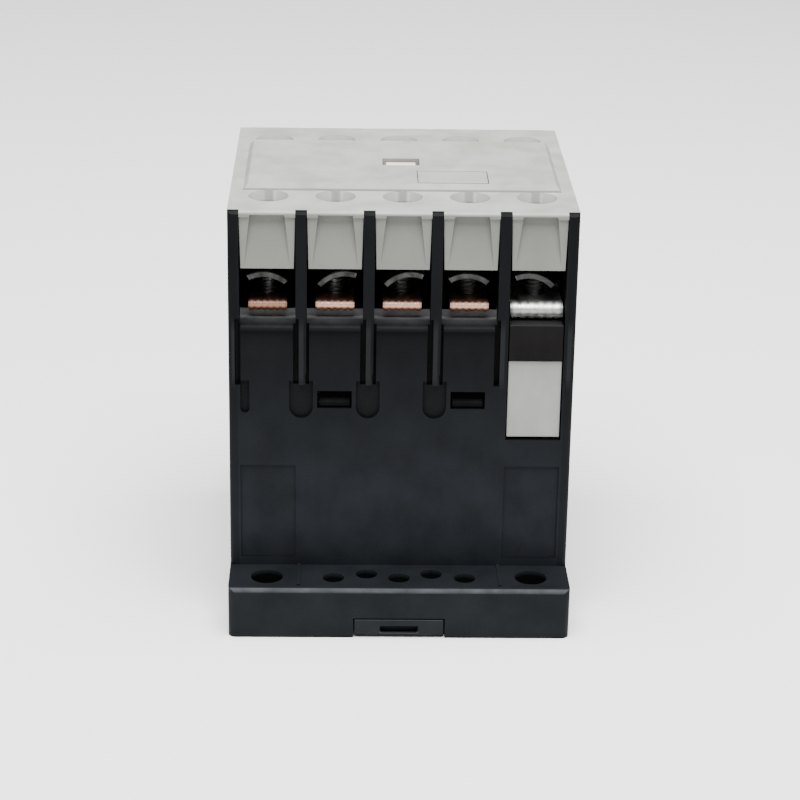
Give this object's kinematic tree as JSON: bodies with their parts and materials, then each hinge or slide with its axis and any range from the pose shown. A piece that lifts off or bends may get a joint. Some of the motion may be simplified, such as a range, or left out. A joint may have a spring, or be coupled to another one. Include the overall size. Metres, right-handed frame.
{
  "type": "control relay",
  "caption": "Rail-mounted control relay: black housing on a drilled flange, pale grey front cover, rows of screw clamps under tabs, and a spring-returned contact carrier.",
  "frame": {"origin": "centre of the mounting plane, on the bottom of the flange", "axes": "+X along the mounting rail, +Y across the rail towards the rear terminals (the front terminals with the white label face -Y), +Z out of the panel towards the cover"},
  "size_m": [0.045, 0.058, 0.057],
  "materials": {
    "base_plastic": "fine moulded grain",
    "housing_plastic": "fine moulded grain",
    "cover_plastic": "satin",
    "plate_plastic": "satin",
    "label_film": "satin",
    "core_steel": "laminated",
    "ring_copper": "satin",
    "pad_rubber": "matte",
    "bobbin_plastic": "satin",
    "winding_copper": "enamelled wire",
    "tape_film": "satin",
    "tinned_metal": "tinned",
    "contact_copper": "bright copper",
    "contact_silver": "satin",
    "carrier_plastic": "satin",
    "pin_steel": "ground",
    "spring_steel": "drawn wire",
    "latch_plastic": "satin",
    "screw_steel": "zinc plated",
    "washer_steel": "zinc plated"
  },
  "bodies": {
    "root": {"mounting_base": "base_plastic", "main_housing": "housing_plastic", "front_cover": "cover_plastic", "marking_plate": "plate_plastic", "coil_label": "label_film", "stator_core": "core_steel", "shading_rings": "ring_copper", "damper_pad": "pad_rubber", "coil_bobbin": "bobbin_plastic", "coil_winding": "winding_copper", "winding_tape": "tape_film", "coil_terminal_a1": "tinned_metal", "coil_terminal_a2": "tinned_metal", "fixed_contact_front_1": "contact_copper", "fixed_contact_front_2": "contact_copper", "fixed_contact_front_3": "contact_copper", "fixed_contact_front_4": "contact_copper", "fixed_contact_rear_1": "contact_copper", "fixed_contact_rear_2": "contact_copper", "fixed_contact_rear_3": "contact_copper", "fixed_contact_rear_4": "contact_copper", "fixed_contact_tips": "contact_silver", "latch_spring": "spring_steel"},
    "carrier": {"contact_carrier": "carrier_plastic", "armature": "core_steel", "armature_pin": "pin_steel", "return_springs": "spring_steel", "contact_spring_1": "spring_steel", "contact_spring_2": "spring_steel", "contact_spring_3": "spring_steel", "contact_spring_4": "spring_steel"},
    "bridge_1": {"contact_bridge_1": "contact_copper", "bridge_tips_1": "contact_silver"},
    "bridge_2": {"contact_bridge_2": "contact_copper", "bridge_tips_2": "contact_silver"},
    "bridge_3": {"contact_bridge_3": "contact_copper", "bridge_tips_3": "contact_silver"},
    "bridge_4": {"contact_bridge_4": "contact_copper", "bridge_tips_4": "contact_silver"},
    "latch": {"rail_latch": "latch_plastic"},
    "clamp_front_1": {"clamp_screw_front_1": "screw_steel"},
    "washer_front_1": {"saddle_washer_front_1": "washer_steel"},
    "clamp_front_2": {"clamp_screw_front_2": "screw_steel"},
    "washer_front_2": {"saddle_washer_front_2": "washer_steel"},
    "clamp_front_3": {"clamp_screw_front_3": "screw_steel"},
    "washer_front_3": {"saddle_washer_front_3": "washer_steel"},
    "clamp_front_4": {"clamp_screw_front_4": "screw_steel"},
    "washer_front_4": {"saddle_washer_front_4": "washer_steel"},
    "clamp_front_5": {"clamp_screw_front_5": "screw_steel"},
    "washer_front_5": {"saddle_washer_front_5": "washer_steel"},
    "clamp_rear_1": {"clamp_screw_rear_1": "screw_steel"},
    "washer_rear_1": {"saddle_washer_rear_1": "washer_steel"},
    "clamp_rear_2": {"clamp_screw_rear_2": "screw_steel"},
    "washer_rear_2": {"saddle_washer_rear_2": "washer_steel"},
    "clamp_rear_3": {"clamp_screw_rear_3": "screw_steel"},
    "washer_rear_3": {"saddle_washer_rear_3": "washer_steel"},
    "clamp_rear_4": {"clamp_screw_rear_4": "screw_steel"},
    "washer_rear_4": {"saddle_washer_rear_4": "washer_steel"},
    "clamp_rear_5": {"clamp_screw_rear_5": "screw_steel"},
    "washer_rear_5": {"saddle_washer_rear_5": "washer_steel"}
  },
  "joints": [
    {"name": "carrier_stroke", "type": "slide", "parent": "root", "child": "carrier", "axis": [0, 0, 1], "range_m": [-0.0049, 0], "stiffness_N_per_m": 500, "springref_m": 0.004, "deforming": ["return_springs"]},
    {"name": "bridge_1_overtravel", "type": "slide", "parent": "carrier", "child": "bridge_1", "axis": [0, 0, 1], "range_m": [0, 0.0011], "deforming": ["contact_spring_1"]},
    {"name": "bridge_2_overtravel", "type": "slide", "parent": "carrier", "child": "bridge_2", "axis": [0, 0, 1], "range_m": [0, 0.0011], "deforming": ["contact_spring_2"]},
    {"name": "bridge_3_overtravel", "type": "slide", "parent": "carrier", "child": "bridge_3", "axis": [0, 0, 1], "range_m": [0, 0.0011], "deforming": ["contact_spring_3"]},
    {"name": "bridge_4_overtravel", "type": "slide", "parent": "carrier", "child": "bridge_4", "axis": [0, 0, 1], "range_m": [0, 0.0011], "deforming": ["contact_spring_4"]},
    {"name": "latch_slide", "type": "slide", "parent": "root", "child": "latch", "axis": [0, -1, 0], "range_m": [0, 0.0026], "stiffness_N_per_m": 800, "springref_m": -0.001, "deforming": ["latch_spring"]},
    {"name": "clamp_front_1_travel", "type": "slide", "parent": "root", "child": "clamp_front_1", "axis": [0, 0, 1], "range_m": [-0.002, 0]},
    {"name": "clamp_front_2_travel", "type": "slide", "parent": "root", "child": "clamp_front_2", "axis": [0, 0, 1], "range_m": [-0.002, 0]},
    {"name": "clamp_front_3_travel", "type": "slide", "parent": "root", "child": "clamp_front_3", "axis": [0, 0, 1], "range_m": [-0.002, 0]},
    {"name": "clamp_front_4_travel", "type": "slide", "parent": "root", "child": "clamp_front_4", "axis": [0, 0, 1], "range_m": [-0.002, 0]},
    {"name": "clamp_front_5_travel", "type": "slide", "parent": "root", "child": "clamp_front_5", "axis": [0, 0, 1], "range_m": [-0.002, 0]},
    {"name": "clamp_rear_1_travel", "type": "slide", "parent": "root", "child": "clamp_rear_1", "axis": [0, 0, 1], "range_m": [-0.002, 0]},
    {"name": "clamp_rear_2_travel", "type": "slide", "parent": "root", "child": "clamp_rear_2", "axis": [0, 0, 1], "range_m": [-0.002, 0]},
    {"name": "clamp_rear_3_travel", "type": "slide", "parent": "root", "child": "clamp_rear_3", "axis": [0, 0, 1], "range_m": [-0.002, 0]},
    {"name": "clamp_rear_4_travel", "type": "slide", "parent": "root", "child": "clamp_rear_4", "axis": [0, 0, 1], "range_m": [-0.002, 0]},
    {"name": "clamp_rear_5_travel", "type": "slide", "parent": "root", "child": "clamp_rear_5", "axis": [0, 0, 1], "range_m": [-0.002, 0]},
    {"name": "washer_front_1_lean", "type": "hinge", "parent": "clamp_front_1", "child": "washer_front_1", "pos_m": [-0.01742, -0.0142, 0.04697], "axis": [0, 1, 0], "range_deg": [-7, 0]},
    {"name": "washer_front_2_lean", "type": "hinge", "parent": "clamp_front_2", "child": "washer_front_2", "pos_m": [-0.00871, -0.0142, 0.04697], "axis": [0, 1, 0], "range_deg": [0, 16]},
    {"name": "washer_front_3_lean", "type": "hinge", "parent": "clamp_front_3", "child": "washer_front_3", "pos_m": [0, -0.0142, 0.04697], "axis": [0, 1, 0], "range_deg": [0, 14]},
    {"name": "washer_front_4_lean", "type": "hinge", "parent": "clamp_front_4", "child": "washer_front_4", "pos_m": [0.00871, -0.0142, 0.04697], "axis": [0, 1, 0], "range_deg": [-3, 0]},
    {"name": "washer_front_5_lean", "type": "hinge", "parent": "clamp_front_5", "child": "washer_front_5", "pos_m": [0.01742, -0.0142, 0.04697], "axis": [0, 1, 0], "range_deg": [-12, 0]},
    {"name": "washer_rear_1_lean", "type": "hinge", "parent": "clamp_rear_1", "child": "washer_rear_1", "pos_m": [-0.01742, 0.0142, 0.04697], "axis": [0, 1, 0], "range_deg": [0, 9]},
    {"name": "washer_rear_2_lean", "type": "hinge", "parent": "clamp_rear_2", "child": "washer_rear_2", "pos_m": [-0.00871, 0.0142, 0.04697], "axis": [0, 1, 0], "range_deg": [-13, 0]},
    {"name": "washer_rear_3_lean", "type": "hinge", "parent": "clamp_rear_3", "child": "washer_rear_3", "pos_m": [0, 0.0142, 0.04697], "axis": [0, 1, 0], "range_deg": [-5, 0]},
    {"name": "washer_rear_4_lean", "type": "hinge", "parent": "clamp_rear_4", "child": "washer_rear_4", "pos_m": [0.00871, 0.0142, 0.04697], "axis": [0, 1, 0], "range_deg": [0, 12]},
    {"name": "washer_rear_5_lean", "type": "hinge", "parent": "clamp_rear_5", "child": "washer_rear_5", "pos_m": [0.01742, 0.0142, 0.04697], "axis": [0, 1, 0], "range_deg": [-8, 0]}
  ],
  "couplings": [
    {"joint": "bridge_1_overtravel", "follows": "carrier_stroke", "ratio": -0.2244},
    {"joint": "bridge_2_overtravel", "follows": "carrier_stroke", "ratio": -0.2244},
    {"joint": "bridge_3_overtravel", "follows": "carrier_stroke", "ratio": -0.2244},
    {"joint": "bridge_4_overtravel", "follows": "carrier_stroke", "ratio": -0.2244},
    {"joint": "washer_front_1_lean", "follows": "clamp_front_1_travel", "rad_per_m": 61.08},
    {"joint": "washer_front_2_lean", "follows": "clamp_front_2_travel", "rad_per_m": -139.61},
    {"joint": "washer_front_3_lean", "follows": "clamp_front_3_travel", "rad_per_m": -122.16},
    {"joint": "washer_front_4_lean", "follows": "clamp_front_4_travel", "rad_per_m": 26.177},
    {"joint": "washer_front_5_lean", "follows": "clamp_front_5_travel", "rad_per_m": 104.71},
    {"joint": "washer_rear_1_lean", "follows": "clamp_rear_1_travel", "rad_per_m": -78.532},
    {"joint": "washer_rear_2_lean", "follows": "clamp_rear_2_travel", "rad_per_m": 113.44},
    {"joint": "washer_rear_3_lean", "follows": "clamp_rear_3_travel", "rad_per_m": 43.629},
    {"joint": "washer_rear_4_lean", "follows": "clamp_rear_4_travel", "rad_per_m": -104.71},
    {"joint": "washer_rear_5_lean", "follows": "clamp_rear_5_travel", "rad_per_m": 69.806}
  ]
}
